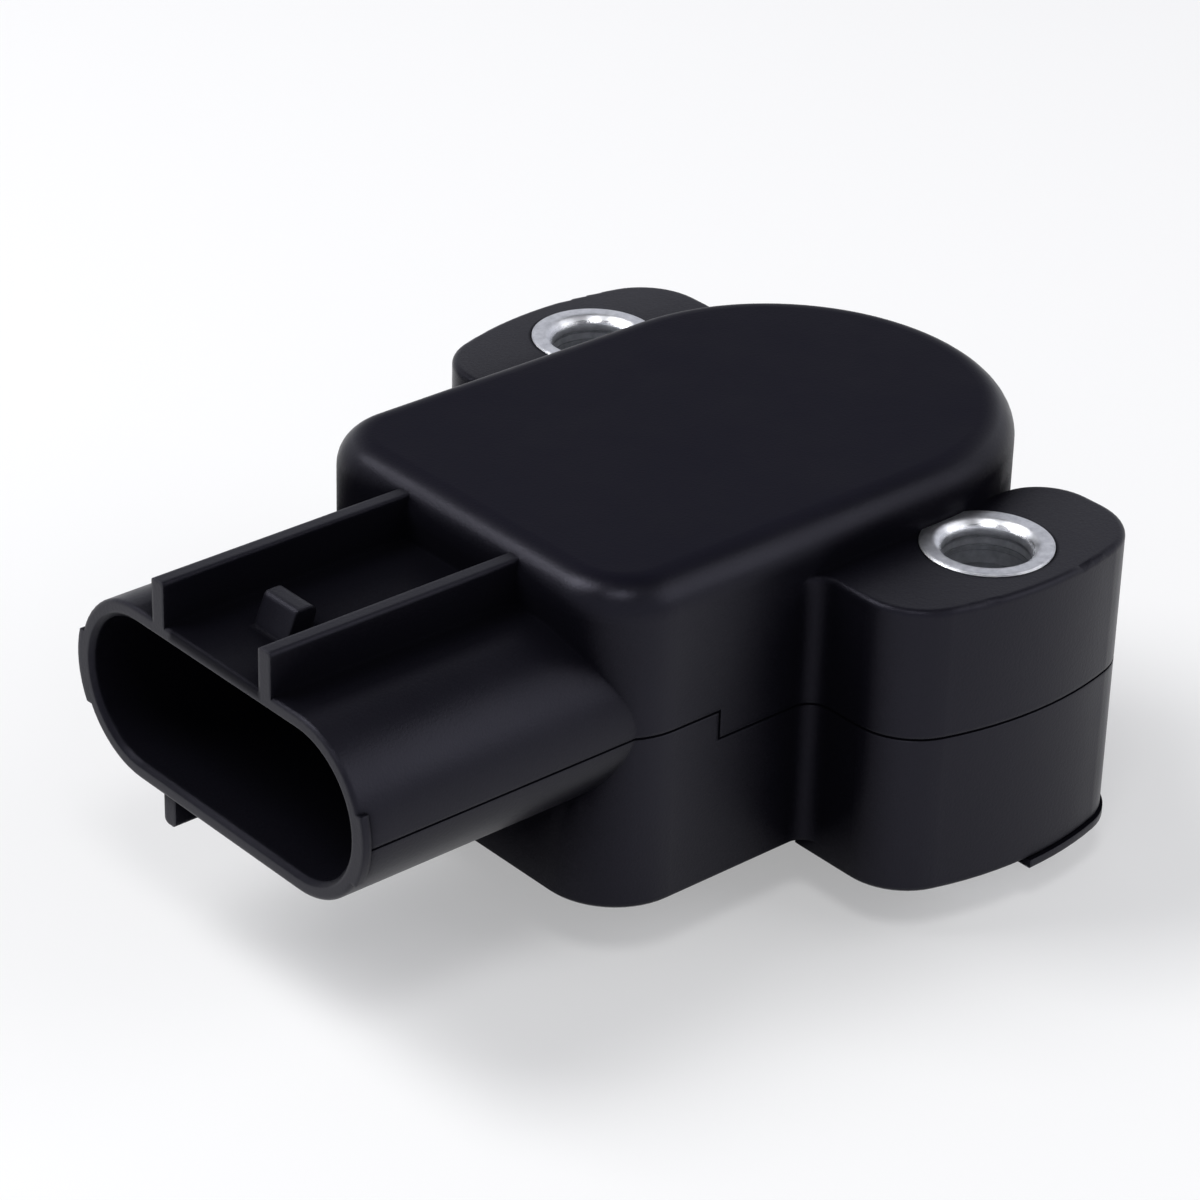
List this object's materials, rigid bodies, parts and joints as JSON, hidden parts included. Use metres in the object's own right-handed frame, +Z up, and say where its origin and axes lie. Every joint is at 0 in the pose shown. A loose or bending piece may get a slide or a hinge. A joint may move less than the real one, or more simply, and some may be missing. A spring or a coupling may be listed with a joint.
{
  "type": "throttle position sensor",
  "caption": "Rotary throttle position sensor with a moulded housing, bushed mounting ears, a shrouded plug socket and a sprung rotor that is driven through a slot underneath.",
  "frame": {"origin": "rotor axis in the mounting plane, which is the end of the bushes and pads", "axes": "+Z up along the rotor axis, plug socket towards -X, mounting ears at -Y and +Y"},
  "size_m": [0.0615, 0.0504, 0.0272],
  "materials": {
    "housing_plastic": "fine moulded grain, satin",
    "cover_plastic": "moulded, matte",
    "bush_steel": "plated, bright",
    "terminal_metal": "tin plated",
    "card_ceramic": "fired, matte",
    "carbon_print": "screen printed carbon",
    "silver_print": "screen printed silver",
    "rotor_plastic": "natural, moulded",
    "wiper_metal": "stamped, bright",
    "spring_steel": "drawn wire",
    "washer_plastic": "skived, smooth",
    "seal_rubber": "matte"
  },
  "bodies": {
    "sensor_body": {"housing": "housing_plastic", "base_cover": "cover_plastic", "bush_front": "bush_steel", "bush_rear": "bush_steel", "terminal_supply": "terminal_metal", "terminal_signal": "terminal_metal", "terminal_ground": "terminal_metal", "element_card": "card_ceramic", "resistance_track": "carbon_print", "print_supply": "silver_print", "print_signal": "silver_print", "print_ground": "silver_print", "return_spring": "spring_steel", "thrust_washer": "washer_plastic", "shaft_seal": "seal_rubber", "mount_o_ring": "seal_rubber"},
    "rotor_body": {"rotor": "rotor_plastic", "wiper": "wiper_metal"}
  },
  "joints": [
    {"name": "rotor_turn", "type": "hinge", "parent": "sensor_body", "child": "rotor_body", "pos_m": [0, 0, 0], "axis": [0, 0, 1], "range_deg": [0, 100], "stiffness_Nm_per_rad": 0.004, "springref_deg": -34.38, "deforming": ["return_spring"]}
  ]
}
